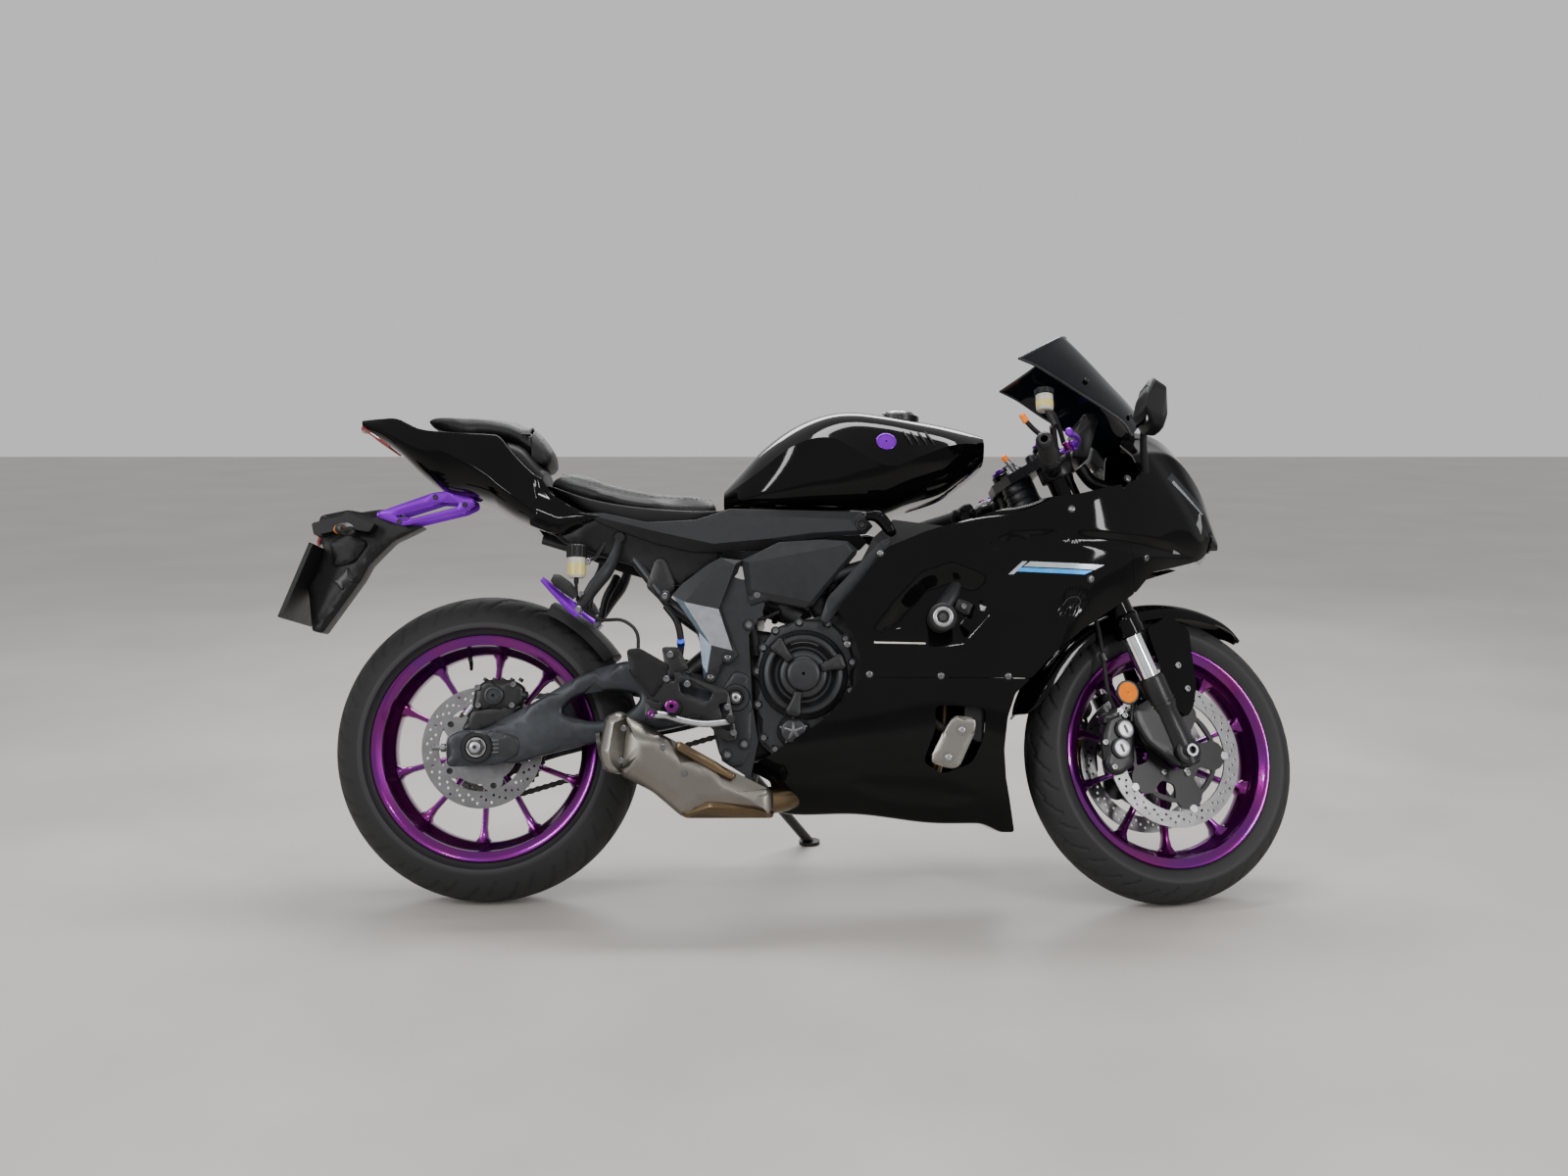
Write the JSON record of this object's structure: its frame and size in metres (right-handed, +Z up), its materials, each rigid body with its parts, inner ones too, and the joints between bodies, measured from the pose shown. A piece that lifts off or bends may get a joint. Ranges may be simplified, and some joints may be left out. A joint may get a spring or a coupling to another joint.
{
  "type": "sport bike",
  "caption": "Fully faired sport motorcycle with thin-spoked wheels, clip-on bars and under-engine silencer, leaning on its side stand.",
  "frame": {"origin": "centre of the bounding box in plan, on the floor the bike stands on", "axes": "+X towards the front wheel, +Y to the rider's left, the side the bike leans to, +Z up"},
  "size_m": [2.1004, 0.7738, 1.1577],
  "materials": {
    "gloss_black": "gloss",
    "matte_black": "matte",
    "frame_grey": "satin",
    "engine_grey": "satin",
    "candy_purple": "gloss",
    "anodised_violet": "satin",
    "tyre": "matte",
    "grip_rubber": "matte",
    "disc_steel": "satin",
    "black_metal": "satin",
    "bright_metal": "satin",
    "muffler_silver": "satin",
    "header_gold": "satin",
    "seat_cover": "matte",
    "smoked_screen": "gloss",
    "lamp_lens": "gloss",
    "tail_red": "gloss",
    "plate_white": "satin",
    "reservoir": "satin"
  },
  "bodies": {
    "root": {"main_frame": "frame_grey", "subframe": "frame_grey", "engine_block": "engine_grey", "clutch_cover": "engine_grey", "generator_cover": "engine_grey", "radiator": "black_metal", "exhaust_header": "header_gold", "muffler": "muffler_silver", "swingarm": "frame_grey", "rear_shock": "black_metal", "rear_axle": "bright_metal", "drive_chain": "disc_steel", "rear_hugger": "matte_black", "fuel_tank": "gloss_black", "rider_seat": "seat_cover", "pillion_seat": "seat_cover", "tail_cowl": "gloss_black", "tail_lamp": "tail_red", "plate_bracket": "anodised_violet", "plate_holder": "matte_black", "number_plate": "plate_white", "upper_cowl": "gloss_black", "side_panels": "gloss_black", "lower_cowl": "gloss_black", "head_lamp": "lamp_lens", "windscreen": "smoked_screen", "instrument_panel": "matte_black", "mirrors": "matte_black", "side_covers": "matte_black", "airbox": "matte_black", "pivot_covers": "frame_grey", "footrests": "black_metal", "foot_levers": "black_metal", "passenger_footrests": "black_metal", "rear_caliper": "black_metal", "rear_reservoir": "reservoir", "crash_bobbins": "black_metal", "rear_brake_hose": "grip_rubber", "side_cap": "bright_metal"},
    "steering": {"triple_clamps": "frame_grey", "fork_legs": "black_metal", "clip_ons": "grip_rubber", "hand_levers": "anodised_violet", "front_fender": "gloss_black", "front_calipers": "black_metal", "front_axle": "bright_metal", "front_brake_hoses": "grip_rubber"},
    "front_wheel": {"front_rim": "candy_purple", "front_tyre": "tyre", "front_discs": "disc_steel"},
    "rear_wheel": {"rear_rim": "candy_purple", "rear_tyre": "tyre", "rear_disc": "disc_steel", "rear_sprocket": "disc_steel"},
    "side_stand": {"side_stand": "black_metal"},
    "fuel_cap": {"fuel_cap": "bright_metal"}
  },
  "joints": [
    {"name": "steering_head", "type": "hinge", "parent": "root", "child": "steering", "pos_m": [0.61175, -0.06657, 0.53025], "axis": [-0.3978, 0.2297, 0.8882], "range_deg": [-36, 0]},
    {"name": "front_wheel_spin", "type": "hinge", "parent": "steering", "child": "front_wheel", "pos_m": [0.75993, -0.11801, 0.28444], "axis": [-0.2835, 0.89, -0.3571], "continuous": true},
    {"name": "rear_wheel_spin", "type": "hinge", "parent": "root", "child": "rear_wheel", "pos_m": [-0.63329, -0.12405, 0.30799], "axis": [0, 0.9681, -0.2504], "continuous": true},
    {"name": "side_stand_fold", "type": "hinge", "parent": "root", "child": "side_stand", "pos_m": [-0.09351, 0.0519, 0.20553], "axis": [0.0733, 0.7731, 0.6301], "range_deg": [0, 98]},
    {"name": "fuel_cap_hinge", "type": "hinge", "parent": "root", "child": "fuel_cap", "pos_m": [0.26151, 0.05165, 0.98738], "axis": [0, 0.9681, -0.2504], "range_deg": [0, 100]}
  ]
}
